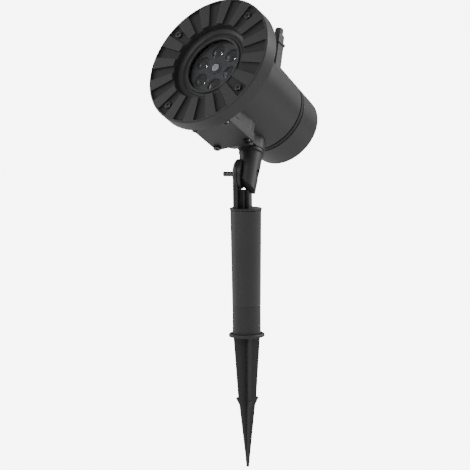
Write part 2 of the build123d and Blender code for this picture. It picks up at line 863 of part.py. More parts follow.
# Wheel bracket: a plate across the body with three arms, the axle's boss and the motor's pad
bracket_radius = body_radius(bracket_front) - body_wall - bracket_gap
boss_depth = wheel_rear + face_gap
with BuildPart() as wheel_bracket:
    with BuildSketch(head_plane(0, 0, bracket_front)):
        Circle(bracket_radius - bracket_edge)
        Circle(bracket_radius - bracket_ring, mode=Mode.SUBTRACT)
        with PolarLocations(bracket_radius / 2 - 1, 3, start_angle=-30):
            Rectangle(bracket_radius - 3, bracket_arm)
        Circle(bracket_hub_radius)
        with Locations((0, gear_centre)):
            Rectangle(motor_screw_spacing + motor_ear, bracket_pad)
        Circle(bracket_radius - bracket_edge, mode=Mode.INTERSECT)
        with Locations((0, gear_centre)):
            Circle(motor_nose_radius, mode=Mode.SUBTRACT)
        with Locations((0, gear_centre)):
            with GridLocations(motor_screw_spacing, 1, 2, 1):
                Circle(motor_hole_radius, mode=Mode.SUBTRACT)
    extrude(amount=bracket_thickness)
    with BuildSketch(head_plane(0, 0, boss_depth)):
        Circle(bracket_boss_radius)
    extrude(amount=bracket_front + bracket_thickness + boss_tail - boss_depth)
    with BuildSketch(head_plane(0, 0, boss_depth)):
        Circle(wheel_bore / 2 - axle_fit + axle_hole_fit)
    extrude(amount=bracket_front + bracket_thickness + 2 * boss_tail - boss_depth, mode=Mode.SUBTRACT)
write(wheel_bracket, "wheel_bracket")

# Wheel screw: the shouldered axle screw whose cross-slot head shows in the middle of the wheel
with BuildPart() as wheel_screw:
    with BuildSketch(head_plane(0, 0, wheel_front - wheel_screw_gap)):
        Circle(wheel_screw_radius)
    extrude(amount=-wheel_screw_height)
    rims = wheel_screw.edges().filter_by(GeomType.CIRCLE)
    front_rim = rims.filter_by(lambda rim: head.to_local_coords(rim.arc_center).Z < wheel_front - 1)
    fillet(front_rim, wheel_screw_round)
    with BuildSketch(head_plane(0, 0, wheel_front - wheel_screw_gap - wheel_screw_height)):
        Rectangle(wheel_recess_length, recess_width)
        Rectangle(recess_width, wheel_recess_length)
    extrude(amount=wheel_recess_depth, mode=Mode.SUBTRACT)
    with BuildSketch(head_plane(0, 0, wheel_front - wheel_screw_gap)):
        Circle(wheel_bore / 2 - axle_fit)
    extrude(amount=bracket_front + bracket_thickness + boss_tail - 1 - wheel_front)
write(wheel_screw, "wheel_screw")

# Drive motor behind the bracket, with its two ears and screws
motor_front = bracket_front + bracket_thickness
with BuildPart() as wheel_motor:
    with BuildSketch(head_plane(0, gear_centre, motor_front)):
        Circle(motor_radius)
    extrude(amount=motor_length)
    fillet(wheel_motor.edges().filter_by(GeomType.CIRCLE), motor_round)
    with BuildSketch(head_plane(0, gear_centre, motor_front)):
        SlotOverall(motor_screw_spacing + motor_ear, motor_ear)
        with GridLocations(motor_screw_spacing, 1, 2, 1):
            Circle(motor_hole_radius, mode=Mode.SUBTRACT)
    extrude(amount=motor_ear_thickness)
    with BuildSketch(head_plane(0, gear_centre, motor_front)):
        Circle(motor_shaft_radius)
    extrude(amount=gear_front - shaft_end_gap - motor_front)
    with BuildSketch(head_plane(0, gear_centre, motor_front + motor_length)):
        with GridLocations(motor_tag_spacing, 1, 2, 1):
            Rectangle(motor_tag_width, motor_tag_thickness)
    extrude(amount=motor_tag_length)
write(wheel_motor, "wheel_motor")

with BuildPart() as motor_screws:
    with BuildSketch(head_plane(0, gear_centre, motor_front + motor_ear_thickness)):
        with GridLocations(motor_screw_spacing, 1, 2, 1):
            Circle(motor_screw_head_radius)
    extrude(amount=motor_screw_head_height)
    with BuildSketch(head_plane(0, gear_centre, motor_front + motor_ear_thickness)):
        with GridLocations(motor_screw_spacing, 1, 2, 1):
            Circle(motor_screw_radius)
    extrude(amount=-motor_ear_thickness - bracket_thickness)
write(motor_screws, "motor_screws")

# Drive pinion on the motor's shaft, in mesh with the wheel
wheel_phase = wheel_teeth / 4 % 1
pinion_start = -90 - (0.5 - wheel_phase) * 360 / pinion_teeth
with BuildPart() as drive_pinion:
    with BuildSketch(head_plane(0, gear_centre, gear_front)):
        Circle(gear_module * (pinion_teeth / 2 - dedendum))
        with PolarLocations(0, pinion_teeth, start_angle=pinion_start):
            add(gear_tooth(pinion_teeth))
        Circle(motor_shaft_radius + pinion_fit, mode=Mode.SUBTRACT)
    extrude(amount=wheel_gear)
write(drive_pinion, "drive_pinion")

# Slide guide: the plate behind the slide with its round aperture and two rails
guide_front = tower_middle + slide_thickness / 2 + slide_clearance
guide_radius = body_radius(guide_front + guide_thickness) - body_wall - bracket_gap
slide_half_width = slot_half_width - slide_clearance
rail_inner = slide_half_width + slide_clearance
with BuildPart() as slide_guide:
    with BuildSketch(head_plane(0, 0, guide_front)):
        Circle(guide_radius)
        Circle(slide_aperture, mode=Mode.SUBTRACT)
    extrude(amount=guide_thickness)
    with BuildSketch(head_plane(0, 0, guide_front)):
        with Locations((0, rail_drop)):
            with GridLocations(2 * rail_inner + rail_width, 1, 2, 1):
                Rectangle(rail_width, rail_length)
        with Locations((0, slide_bottom + slide_clearance + rail_width / 2)):
            Rectangle(rest_length, rail_width)
    extrude(amount=-slide_thickness - slide_clearance)
write(slide_guide, "slide_guide")

# Slide cap over the tower, with its slide frame below it
with BuildPart() as slide_cap:
    with BuildSketch(drop_plane(0, -tower_height - cap_gap, tower_middle)):
        Rectangle(2 * tower_half_width, tower_rear - tower_front)
    extrude(amount=-cap_height)
    corners = slide_cap.edges().filter_by(lambda edge: abs(edge.tangent_at(0).dot(head.y_dir)) > 0.9)
    fillet(corners, cap_round)
    with BuildSketch(drop_plane(0, -tower_height - cap_gap, tower_middle)):
        with GridLocations(knob_spacing, 1, 2, 1):
            Circle(screw_radius + knob_screw_fit)
    extrude(amount=-cap_height, mode=Mode.SUBTRACT)
write(slide_cap, "slide_cap")

with BuildPart() as slide_frame:
    with BuildSketch(head_plane(0, 0, tower_middle - slide_thickness / 2)):
        with Locations((0, (slide_bottom - tower_height) / 2)):
            Rectangle(2 * slide_half_width, slide_bottom + tower_height)
        Circle(slide_aperture, mode=Mode.SUBTRACT)
    extrude(amount=slide_thickness)
    with BuildSketch(head_plane(0, 0, tower_middle - film_thickness / 2 - film_fit)):
        Circle(slide_aperture + film_overlap + film_fit)
    extrude(amount=film_thickness + 2 * film_fit, mode=Mode.SUBTRACT)
write(slide_frame, "slide_frame")

# Pattern film, a clear disc that clips into the frame's groove
with BuildPart() as pattern_film:
    with BuildSketch(head_plane(0, 0, tower_middle - film_thickness / 2)):
        Circle(slide_aperture + film_overlap)
    extrude(amount=film_thickness)
write(pattern_film, "pattern_film")

# Thumb knobs that hold the cap down
for name, side in (("knob_left", -1), ("knob_right", 1)):
    with BuildPart() as knob:
        knob_seat = -tower_height - cap_gap - cap_height - knob_gap
        knob_plane = drop_plane(side * knob_spacing / 2, knob_seat, tower_middle)
        with BuildSketch(knob_plane):
            Circle(knob_radius)
            with PolarLocations(knob_radius + knob_flute_out, 12):
                Circle(knob_flute_radius, mode=Mode.SUBTRACT)
        extrude(amount=-knob_height)
        with BuildSketch(knob_plane.offset(-knob_height + knob_flute_radius)):
            Rectangle(2 * knob_radius, knob_slot_width)
        extrude(amount=-1, mode=Mode.SUBTRACT)
        with BuildSketch(knob_plane):
            Circle(screw_radius - knob_screw_fit)
        extrude(amount=cap_height + knob_screw_grip)
    write(knob, name)

# Compartment cover: a tray under the drive, held by four screws
cover_depth = cover_bottom - cover_top - cover_gap
cover_length = box_rear - bezel_depth
cover_middle = (box_rear + bezel_depth) / 2
with BuildPart() as compartment_cover:
    with BuildSketch(drop_plane(0, cover_top + cover_gap, cover_middle)):
        RectangleRounded(2 * box_half_width, cover_length, cover_corner)
    extrude(amount=cover_depth)
    with BuildSketch(drop_plane(0, cover_top + cover_gap, cover_middle)):
        Rectangle(2 * (box_half_width - box_wall), cover_length - 2 * box_wall)
    extrude(amount=cover_depth - box_wall, mode=Mode.SUBTRACT)
    for side, depth in cover_screws:
        with BuildSketch(drop_plane(side, cover_top + cover_gap, depth)):
            Circle(cover_boss_radius)
        extrude(amount=cover_depth)
        with BuildSketch(drop_plane(side, cover_top + cover_gap, depth)):
            Circle(screw_radius + screw_hole_fit)
        extrude(amount=cover_depth + 1, mode=Mode.SUBTRACT)
write(compartment_cover, "compartment_cover")

with BuildPart() as cover_screws_set:
    for side, depth in cover_screws:
        with BuildSketch(drop_plane(side, cover_bottom, depth)):
            Circle(screw_head_radius)
        extrude(amount=screw_head_height)
        with BuildSketch(drop_plane(side, cover_bottom + screw_head_height, depth)):
            Rectangle(recess_length, recess_width)
            Rectangle(recess_width, recess_length)
        extrude(amount=-recess_depth, mode=Mode.SUBTRACT)
        with BuildSketch(drop_plane(side, cover_bottom, depth)):
            Circle(screw_radius - screw_fit)
        extrude(amount=cover_top - cover_bottom - cover_screw_grip)
write(cover_screws_set, "cover_screws")

# Condenser lens and its holder, between the light source and the slide
holder_rear = board_depth - holder_gap
with BuildPart() as lens_holder:
    with BuildSketch(head_plane(0, 0, condenser_front)):
        Circle(holder_radius)
        Circle(holder_radius - holder_wall, mode=Mode.SUBTRACT)
    extrude(amount=holder_rear - condenser_front)
    with BuildSketch(head_plane(0, 0, condenser_front + holder_shelf_depth)):
        Circle(holder_radius)
        Circle(holder_radius - holder_shelf, mode=Mode.SUBTRACT)
    extrude(amount=holder_shelf_thickness)
write(lens_holder, "lens_holder")

condenser_radius = holder_radius - holder_wall - condenser_fit
condenser_section = Plane(
    origin=head_plane(0, 0, condenser_front + holder_shelf_depth - condenser_seat).origin,
    x_dir=head.x_dir,
    z_dir=head.y_dir * -1,
)
with BuildPart() as condenser_lens:
    with BuildSketch(condenser_section):
        with BuildLine():
            Polyline((0, 0), (condenser_radius, 0), (condenser_radius, -condenser_edge))
            dome(condenser_radius, -condenser_crown, -condenser_edge)
            Line((0, -condenser_crown), (0, 0))
        make_face()
    revolve(axis=head_axis)
write(condenser_lens, "condenser_lens")

# Light source: a round metal-core board with its emitter, on a finned sink
with BuildPart() as led_board:
    with BuildSketch(head_plane(0, 0, board_depth)):
        Circle(sink_radius)
        with PolarLocations(sink_screw_circle, 3, start_angle=90):
            Circle(screw_radius + screw_hole_fit, mode=Mode.SUBTRACT)
    extrude(amount=board_thickness)
write(led_board, "led_board")

with BuildPart() as led_emitter:
    with BuildSketch(head_plane(0, 0, board_depth)):
        Rectangle(emitter_side, emitter_side)
    extrude(amount=-emitter_height)
    with BuildSketch(head_plane(0, 0, board_depth - emitter_height)):
        Circle(emitter_dome_radius)
    extrude(amount=-emitter_dome_height)
write(led_emitter, "led_emitter")

sink_front = board_depth + board_thickness
with BuildPart() as heat_sink:
    with BuildSketch(head_plane(0, 0, sink_front)):
        Circle(sink_radius)
    extrude(amount=sink_base)
    with BuildSketch(head_plane(0, 0, sink_front + sink_base)):
        with GridLocations(sink_fin_pitch, 1, sink_fin_count, 1):
            Rectangle(sink_fin, 2 * sink_radius)
        Circle(sink_radius - sink_fin_inset, mode=Mode.INTERSECT)
        with PolarLocations(sink_screw_circle, 3, start_angle=90):
            Circle(sink_post_radius + sink_screw_gap, mode=Mode.SUBTRACT)
    extrude(amount=sink_rear - sink_front - sink_base)
    with BuildSketch(head_plane(0, 0, sink_front)):
        with PolarLocations(sink_screw_circle, 3, start_angle=90):
            Circle(screw_radius + screw_hole_fit)
    extrude(amount=sink_base + 1, mode=Mode.SUBTRACT)
write(heat_sink, "heat_sink")

# Sink screws run back into three short posts of the rear cap
with BuildPart() as sink_screws:
    with BuildSketch(head_plane(0, 0, board_depth)):
        with PolarLocations(sink_screw_circle, 3, start_angle=90):
            Circle(sink_screw_head_radius)
    extrude(amount=-sink_screw_head_height)
    with BuildSketch(head_plane(0, 0, board_depth)):
        with PolarLocations(sink_screw_circle, 3, start_angle=90):
            Circle(screw_radius - screw_fit)
    extrude(amount=sink_screw_length)
write(sink_screws, "sink_screws")

# Rubber seal band in the joint between the body and the rear cap
band_seat = body_radius(band_front) - groove_depth
with BuildPart() as seal_band:
    with BuildSketch(head_section):
        with BuildLine():
            Polyline(
                (band_seat, band_front),
                (body_radius(band_front), band_front),
                (body_radius(band_rear), band_rear),
                (band_seat, band_rear),
                close=True,
            )
        make_face()
    revolve(axis=head_axis)
write(seal_band, "seal_band")

# Rear cap: a shallow cup whose spigot slides into the body
cap_back = body_rear - cap_wall
with BuildPart() as rear_cap:
    with BuildSketch(head_section):
        with BuildLine():
            Polyline(
                (spigot_radius - body_wall, spigot_front),
                (spigot_radius, spigot_front),
                (spigot_radius, body_end),
                (band_seat - cap_fit, body_end),
                (band_seat - cap_fit, cap_front),
                (body_radius(cap_front), cap_front),
                (body_radius(body_rear) + cap_fit, body_rear - cap_edge),
                (body_rear_radius - cap_edge, body_rear),
                (0, body_rear),
                (0, cap_back),
                (spigot_radius - body_wall - cap_edge, cap_back),
                close=True,
            )
        make_face()
    revolve(axis=head_axis)
    with BuildSketch(head_plane(0, 0, spigot_front)):
        with PolarLocations(post_circle, 3, start_angle=-90):
            Circle(post_radius)
    extrude(amount=cap_back - spigot_front)
    with BuildSketch(head_plane(0, 0, sink_front + sink_base)):
        with PolarLocations(sink_screw_circle, 3, start_angle=90):
            Circle(sink_post_radius)
    extrude(amount=cap_back - sink_front - sink_base)
    with BuildSketch(head_plane(0, 0, spigot_front)):
        with PolarLocations(post_circle, 3, start_angle=-90):
            Circle(screw_radius + screw_hole_fit)
    extrude(amount=body_rear - spigot_front, mode=Mode.SUBTRACT)
    with BuildSketch(head_plane(0, 0, body_rear)):
        with PolarLocations(post_circle, 3, start_angle=-90):
            Circle(screw_head_radius + cap_seat_gap)
    extrude(amount=-cap_screw_seat, mode=Mode.SUBTRACT)
    with BuildSketch(head_plane(0, 0, sink_front)):
        with PolarLocations(sink_screw_circle, 3, start_angle=90):
            Circle(screw_radius)
    extrude(amount=sink_screw_length, mode=Mode.SUBTRACT)
    with BuildSketch(head_plane(0, 0, body_rear)):
        Circle(gland_thread_radius + plug_fit)
    extrude(amount=-2 * cap_wall, mode=Mode.SUBTRACT)
write(rear_cap, "rear_cap")

with BuildPart() as cap_screws:
    with BuildSketch(head_plane(0, 0, body_rear - cap_screw_seat)):
        with PolarLocations(post_circle, 3, start_angle=-90):
            Circle(screw_head_radius)
    extrude(amount=screw_head_height)
    with BuildSketch(head_plane(0, 0, body_rear - cap_screw_seat + screw_head_height)):
        with PolarLocations(post_circle, 3, start_angle=-90):
            Rectangle(recess_length, recess_width)
            Rectangle(recess_width, recess_length)
    extrude(amount=-recess_depth, mode=Mode.SUBTRACT)
    with BuildSketch(head_plane(0, 0, body_rear - cap_screw_seat)):
        with PolarLocations(post_circle, 3, start_angle=-90):
            Circle(screw_radius - screw_fit)
    extrude(amount=spigot_front - cap_screw_grip - body_rear + cap_screw_seat)
write(cap_screws, "cap_screws")

# Cable gland in the middle of the rear cap, with its inner nut
with BuildPart() as cable_gland:
    with BuildSketch(head_plane(0, 0, body_rear)):
        RegularPolygon(gland_flats / 2, 6, major_radius=False)
    extrude(amount=gland_hex_height)
    with BuildSketch(head_plane(0, 0, body_rear + gland_hex_height)):
        Circle(gland_radius)
    extrude(amount=gland_height)
    end_face = cable_gland.faces().sort_by(lambda face: head.to_local_coords(face.center()).Z)[-1]
    fillet(end_face.edges(), gland_round)
    with BuildSketch(head_plane(0, 0, body_rear)):
        Circle(gland_thread_radius)
    extrude(amount=-gland_thread_length)
    with BuildSketch(head_plane(0, 0, body_rear - gland_thread_length)):
        Circle(gland_bore_radius)
    extrude(amount=gland_thread_length + 2 * gland_height, mode=Mode.SUBTRACT)
write(cable_gland, "cable_gland")

with BuildPart() as gland_nut:
    with BuildSketch(head_plane(0, 0, cap_back)):
        RegularPolygon(gland_flats / 2, 6, major_radius=False)
        Circle(gland_thread_radius + screw_fit, mode=Mode.SUBTRACT)
    extrude(amount=-gland_nut_height)
write(gland_nut, "gland_nut")

# Driver board on edge behind the sink
with BuildPart() as driver_board:
    with BuildSketch(head_plane(0, 0, sink_rear + driver_gap)):
        Rectangle(driver_width, driver_height)
    extrude(amount=board_thickness)
    with BuildSketch(head_plane(0, 0, sink_rear + driver_gap)):
        with GridLocations(driver_chip_spacing, 1, 2, 1):
            Rectangle(driver_chip_width, driver_chip_height)
    extrude(amount=-driver_chip_depth)
write(driver_board, "driver_board")

# Swivel washer and screw that hold the lamp on the knuckle's pin
washer_seat = boss_top - washer_gap
with BuildPart() as swivel_washer:
    with BuildSketch(drop_plane(0, washer_seat, neck_depth)):
        Circle(swivel_pin_radius + washer_overhang)
        Circle(swivel_screw_radius + screw_hole_fit, mode=Mode.SUBTRACT)
    extrude(amount=-washer_thickness)
write(swivel_washer, "swivel_washer")

with BuildPart() as swivel_screw:
    screw_seat = washer_seat - washer_thickness
    with BuildSketch(drop_plane(0, screw_seat, neck_depth)):
        Circle(swivel_head_radius)
    extrude(amount=-swivel_head_height)
    with BuildSketch(drop_plane(0, screw_seat - swivel_head_height, neck_depth)):
        Rectangle(swivel_recess_length, swivel_recess_width)
        Rectangle(swivel_recess_width, swivel_recess_length)
    extrude(amount=swivel_recess_width, mode=Mode.SUBTRACT)
    with BuildSketch(drop_plane(0, screw_seat, neck_depth)):
        Circle(swivel_screw_radius - swivel_thread_fit)
    extrude(amount=swivel_screw_length)
write(swivel_screw, "swivel_screw")
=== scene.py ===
import json
import math

import bpy
from mathutils import Matrix, Vector


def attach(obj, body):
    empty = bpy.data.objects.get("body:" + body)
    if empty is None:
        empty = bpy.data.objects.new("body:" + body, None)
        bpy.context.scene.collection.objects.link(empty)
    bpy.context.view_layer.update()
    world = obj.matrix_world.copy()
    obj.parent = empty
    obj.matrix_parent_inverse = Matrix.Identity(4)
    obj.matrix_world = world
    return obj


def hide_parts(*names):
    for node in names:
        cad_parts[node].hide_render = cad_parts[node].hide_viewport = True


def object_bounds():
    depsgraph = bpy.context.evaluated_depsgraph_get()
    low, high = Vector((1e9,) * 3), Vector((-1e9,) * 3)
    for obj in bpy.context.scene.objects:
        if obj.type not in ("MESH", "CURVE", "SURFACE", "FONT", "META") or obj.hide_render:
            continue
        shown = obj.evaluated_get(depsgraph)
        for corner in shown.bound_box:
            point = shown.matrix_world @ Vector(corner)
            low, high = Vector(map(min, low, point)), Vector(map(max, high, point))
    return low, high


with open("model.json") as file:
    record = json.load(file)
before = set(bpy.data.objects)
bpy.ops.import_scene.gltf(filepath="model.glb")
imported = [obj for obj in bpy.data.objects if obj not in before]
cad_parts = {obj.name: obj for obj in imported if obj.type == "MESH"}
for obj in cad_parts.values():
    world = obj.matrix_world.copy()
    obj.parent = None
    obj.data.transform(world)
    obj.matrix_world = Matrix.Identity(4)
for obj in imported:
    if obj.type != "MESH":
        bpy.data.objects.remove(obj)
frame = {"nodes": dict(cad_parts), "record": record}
cad_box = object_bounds()
nodes = frame["nodes"]
behaviour = frame["record"]["behaviour"]
joints = {joint["name"]: joint for joint in behaviour["joints"]}
bodies = {node: body for body, members in behaviour["bodies"].items() for node in members}
MM = 0.001

# ---------------------------------------------------------------------------
# Camera. A long lens looks slightly down at the light from its front, turned a
# little away from the tilt hinge's square-on view.
# ---------------------------------------------------------------------------
view_turn = math.radians(12.2)
view_rise = math.radians(7.0)
view_roll = math.radians(-0.48)
view_distance = 1.66
lens_length = 157
film_width = 36
aim_height = 0.083
aim_side = -0.0089

camera_right = Vector((math.cos(view_turn), math.sin(view_turn), 0))
camera_back = Vector((
    math.sin(view_turn) * math.cos(view_rise),
    -math.cos(view_turn) * math.cos(view_rise),
    math.sin(view_rise),
))
camera_up = camera_back.cross(camera_right)
camera_data = bpy.data.cameras.new("studio_camera")
camera_data.lens = lens_length
camera_data.sensor_width = film_width
camera = bpy.data.objects.new("studio_camera", camera_data)
bpy.context.scene.collection.objects.link(camera)
turn = Matrix((camera_right, camera_up, camera_back)).transposed().to_4x4()
aim = Vector((0, 0, aim_height)) + camera_right * aim_side
camera.matrix_world = (
    Matrix.Translation(aim + camera_back * view_distance) @ turn @ Matrix.Rotation(view_roll, 4, "Z")
)
bpy.context.scene.camera = camera

# ---------------------------------------------------------------------------
# Studio. A white floor just under the spike's tip and a white sweep above it.
# Both glow to the eye like a lit backdrop, but light the object only softly.
# ---------------------------------------------------------------------------
floor_gap = 0.0005
floor_width = 30
floor_white = 0.9
floor_roughness = 0.9
backdrop_glow = 9.0
glow_share = 0.8
room_light = 0.5


def lit_backdrop(tree, lit, output, glow_strength):
    """Show a bright white to the eye while the room itself is lit by the given shader."""
    glow = tree.nodes.new("ShaderNodeEmission")
    glow.inputs["Strength"].default_value = glow_strength
    eye = tree.nodes.new("ShaderNodeLightPath").outputs["Is Camera Ray"]
    choice = tree.nodes.new("ShaderNodeMixShader")
    tree.links.new(eye, choice.inputs["Fac"])
    tree.links.new(lit, choice.inputs[1])
    tree.links.new(glow.outputs[0], choice.inputs[2])
    tree.links.new(choice.outputs[0], output)


bpy.ops.object.select_all(action="DESELECT")
bpy.ops.mesh.primitive_plane_add(size=floor_width, location=(0, 0, cad_box[0][2] - floor_gap))
floor = bpy.context.object
floor.name = "studio_floor"
floor_paint = bpy.data.materials.new("studio_floor")
floor_paint.use_nodes = True
floor_tree = floor_paint.node_tree
floor_shader = floor_tree.nodes["Principled BSDF"]
floor_shader.inputs["Base Color"].default_value = (floor_white, floor_white, floor_white, 1)
floor_shader.inputs["Roughness"].default_value = floor_roughness
floor_mix = floor_tree.nodes.new("ShaderNodeMixShader")
floor_mix.inputs["Fac"].default_value = 1 - glow_share
lit_backdrop(floor_tree, floor_shader.outputs[0], floor_mix.inputs[1], backdrop_glow)
floor_tree.links.new(floor_shader.outputs[0], floor_mix.inputs[2])
floor_tree.links.new(floor_mix.outputs[0], floor_tree.nodes["Material Output"].inputs["Surface"])
floor.data.materials.append(floor_paint)

sky = bpy.data.worlds.new("studio_sky")
sky.use_nodes = True
sky_colour = sky.node_tree.nodes["Background"]
sky_colour.inputs["Color"].default_value = (1, 1, 1, 1)
sky_colour.inputs["Strength"].default_value = room_light
sky_output = sky.node_tree.nodes["World Output"]
lit_backdrop(sky.node_tree, sky_colour.outputs[0], sky_output.inputs["Surface"], backdrop_glow * glow_share)
bpy.context.scene.world = sky

# ---------------------------------------------------------------------------
# Soft boxes. A small key light high at the front left, a broad rim light high
# behind the right side, and a weak fill at the left.
# ---------------------------------------------------------------------------
box_height_ratio = 1.3
lit_point = Vector((0, 0, 0.2))


def soft_light(name, place, width, power):
    """A soft box at a place, turned to the lamp head."""
    data = bpy.data.lights.new(name, "AREA")
    data.shape = "RECTANGLE"
    data.size = width
    data.size_y = width * box_height_ratio
    data.energy = power
    light = bpy.data.objects.new(name, data)
    light.location = place
    light.rotation_euler = (lit_point - Vector(place)).to_track_quat("-Z", "Y").to_euler()
    bpy.context.scene.collection.objects.link(light)


soft_light("key_box", (-0.75, -1.35, 1.15), width=0.2, power=9)
soft_light("rim_box", (1.0, 0.5, 0.9), width=0.6, power=15)
soft_light("side_box", (-1.3, 0.1, 0.5), width=0.7, power=5)

# ---------------------------------------------------------------------------
# Lamp housing. One injection moulding in black ABS, with its slide tower, drive
# compartment and neck boss, and a fine spark-eroded skin.
# ---------------------------------------------------------------------------
housing_edge = 0.35 * MM
abs_dark = (0.015, 0.015, 0.016)
abs_light = (0.020, 0.020, 0.021)
abs_roughness = (0.42, 0.52)
dust_colour = (0.35, 0.34, 0.32)


def group_socket(group, name, direction, value=None):
    """Add one value socket to a node group, with its default."""
    socket = group.interface.new_socket(name, in_out=direction, socket_type="NodeSocketFloat")
    if value is not None:
        socket.default_value = value


def noise(tree, vector, scale, detail=3.0, roughness=0.5):
    """A noise texture on a vector."""
    node = tree.nodes.new("ShaderNodeTexNoise")
    node.inputs["Scale"].default_value = scale
    node.inputs["Detail"].default_value = detail
    node.inputs["Roughness"].default_value = roughness
    tree.links.new(vector, node.inputs["Vector"])
    return node


def spread(tree, value, low, high, from_low=0.3, from_high=0.7):
    """Map a value's middle range onto low to high."""
    node = tree.nodes.new("ShaderNodeMapRange")
    node.inputs["From Min"].default_value = from_low
    node.inputs["From Max"].default_value = from_high
    node.inputs["To Min"].default_value = low
    node.inputs["To Max"].default_value = high
    tree.links.new(value, node.inputs["Value"])
    return node.outputs["Result"]


# The moulded skin group: grain height, slow gloss change and sparse dust over the surface.
skin = bpy.data.node_groups.new("moulded_skin", "ShaderNodeTree")
group_socket(skin, "Grain Scale", "INPUT", 1800.0)
group_socket(skin, "Flow Scale", "INPUT", 22.0)
group_socket(skin, "Dust Amount", "INPUT", 0.1)
group_socket(skin, "Height", "OUTPUT")
group_socket(skin, "Flow", "OUTPUT")
group_socket(skin, "Dust", "OUTPUT")
skin_in = skin.nodes.new("NodeGroupInput")
skin_out = skin.nodes.new("NodeGroupOutput")
surface_point = skin.nodes.new("ShaderNodeTexCoord").outputs["Object"]
grain = noise(skin, surface_point, 1800.0, detail=2.0)
skin.links.new(skin_in.outputs["Grain Scale"], grain.inputs["Scale"])
skin.links.new(grain.outputs["Fac"], skin_out.inputs["Height"])
flow = noise(skin, surface_point, 22.0, detail=4.0)
skin.links.new(skin_in.outputs["Flow Scale"], flow.inputs["Scale"])
skin.links.new(spread(skin, flow.outputs["Fac"], 0, 1), skin_out.inputs["Flow"])
specks = noise(skin, surface_point, 420.0, detail=5.0, roughness=0.7)
dust = skin.nodes.new("ShaderNodeMath")
dust.operation = "MULTIPLY"
skin.links.new(spread(skin, specks.outputs["Fac"], 0, 1, 0.62, 0.75), dust.inputs[0])
skin.links.new(skin_in.outputs["Dust Amount"], dust.inputs[1])
skin.links.new(dust.outputs[0], skin_out.inputs["Dust"])


def mix_colour(tree, factor, first, second):
    """Blend two plain colours by a mask."""
    node = tree.nodes.new("ShaderNodeMix")
    node.data_type = "RGBA"
    node.inputs["A"].default_value = (*first, 1)
    node.inputs["B"].default_value = (*second, 1)
    tree.links.new(factor, node.inputs["Factor"])
    return node.outputs["Result"]


def bump_normal(tree, height, shader, strength, distance):
    """Raise a shader's normal by a height mask."""
    bump = tree.nodes.new("ShaderNodeBump")
    bump.inputs["Strength"].default_value = strength
    bump.inputs["Distance"].default_value = distance
    tree.links.new(height, bump.inputs["Height"])
    tree.links.new(bump.outputs["Normal"], shader.inputs["Normal"])


def moulded(name, dark, light, gloss, grain_scale=1800.0, grain_depth=0.02 * MM, dust_amount=0.1):
    """A moulded plastic: two close shades, a range of roughness and a fine grain."""
    paint = bpy.data.materials.new(name)
    paint.use_nodes = True
    tree = paint.node_tree
    shader = tree.nodes["Principled BSDF"]
    skin_node = tree.nodes.new("ShaderNodeGroup")
    skin_node.node_tree = skin
    skin_node.inputs["Grain Scale"].default_value = grain_scale
    skin_node.inputs["Dust Amount"].default_value = dust_amount
    dusty = tree.nodes.new("ShaderNodeMix")
    dusty.data_type = "RGBA"
    dusty.inputs["B"].default_value = (*dust_colour, 1)
    tree.links.new(mix_colour(tree, skin_node.outputs["Flow"], dark, light), dusty.inputs["A"])
    tree.links.new(skin_node.outputs["Dust"], dusty.inputs["Factor"])
    tree.links.new(dusty.outputs["Result"], shader.inputs["Base Color"])
    tree.links.new(spread(tree, skin_node.outputs["Flow"], *gloss, 0, 1), shader.inputs["Roughness"])
    bump_normal(tree, skin_node.outputs["Height"], shader, 0.6, grain_depth)
    return paint


def paint_nodes(paint, *names):
    """Give CAD nodes a better material in their own slots."""
    for name in names:
        for slot in nodes[name].material_slots:
            slot.material = paint


def select_only(piece):
    """Make one object the active and only selected one."""
    bpy.ops.object.select_all(action="DESELECT")
    piece.select_set(True)
    bpy.context.view_layer.objects.active = piece


def merged_copy(node_name):
    """A copy of a CAD node with its own mesh, merged along its seams."""
    piece = bpy.data.objects.new(node_name + "_moulded", nodes[node_name].data.copy())
    bpy.context.scene.collection.objects.link(piece)
    select_only(piece)
    bpy.ops.mesh.customdata_custom_splitnormals_clear()
    bpy.ops.object.mode_set(mode="EDIT")
    bpy.ops.mesh.select_all(action="SELECT")
    bpy.ops.mesh.remove_doubles(threshold=0.002 * MM)
    bpy.ops.mesh.dissolve_limited(angle_limit=math.radians(0.3))
    bpy.ops.mesh.normals_make_consistent(inside=False)
    bpy.ops.object.mode_set(mode="OBJECT")
    return piece


def round_edges(piece, width):
    """Round a piece's sharp edges with an applied bevel."""
    select_only(piece)
    bevel = piece.modifiers.new("rounded", "BEVEL")
    bevel.width = width
    bevel.segments = 2
    bevel.limit_method = "ANGLE"
    bevel.angle_limit = math.radians(32)
    bevel.use_clamp_overlap = False
    bpy.ops.object.modifier_apply(modifier=bevel.name)


def settle(piece, body, node_name):
    """Shade a finished piece, hang it on its body and let it stand for its CAD node."""
    select_only(piece)
    bpy.ops.object.shade_smooth_by_angle(angle=math.radians(35))
    even = piece.modifiers.new("even_shading", "WEIGHTED_NORMAL")
    even.keep_sharp = True
    bpy.ops.object.modifier_apply(modifier=even.name)
    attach(piece, body)
    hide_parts(node_name)


def round_node(node_name, radius):
    """Let a copy of a CAD node with rounded edges stand in for it."""
    piece = merged_copy(node_name)
    round_edges(piece, radius)
    settle(piece, bodies[node_name], node_name)


black_abs = moulded("black_abs", abs_dark, abs_light, abs_roughness)
paint_nodes(black_abs, "lamp_housing")
round_node("lamp_housing", housing_edge)

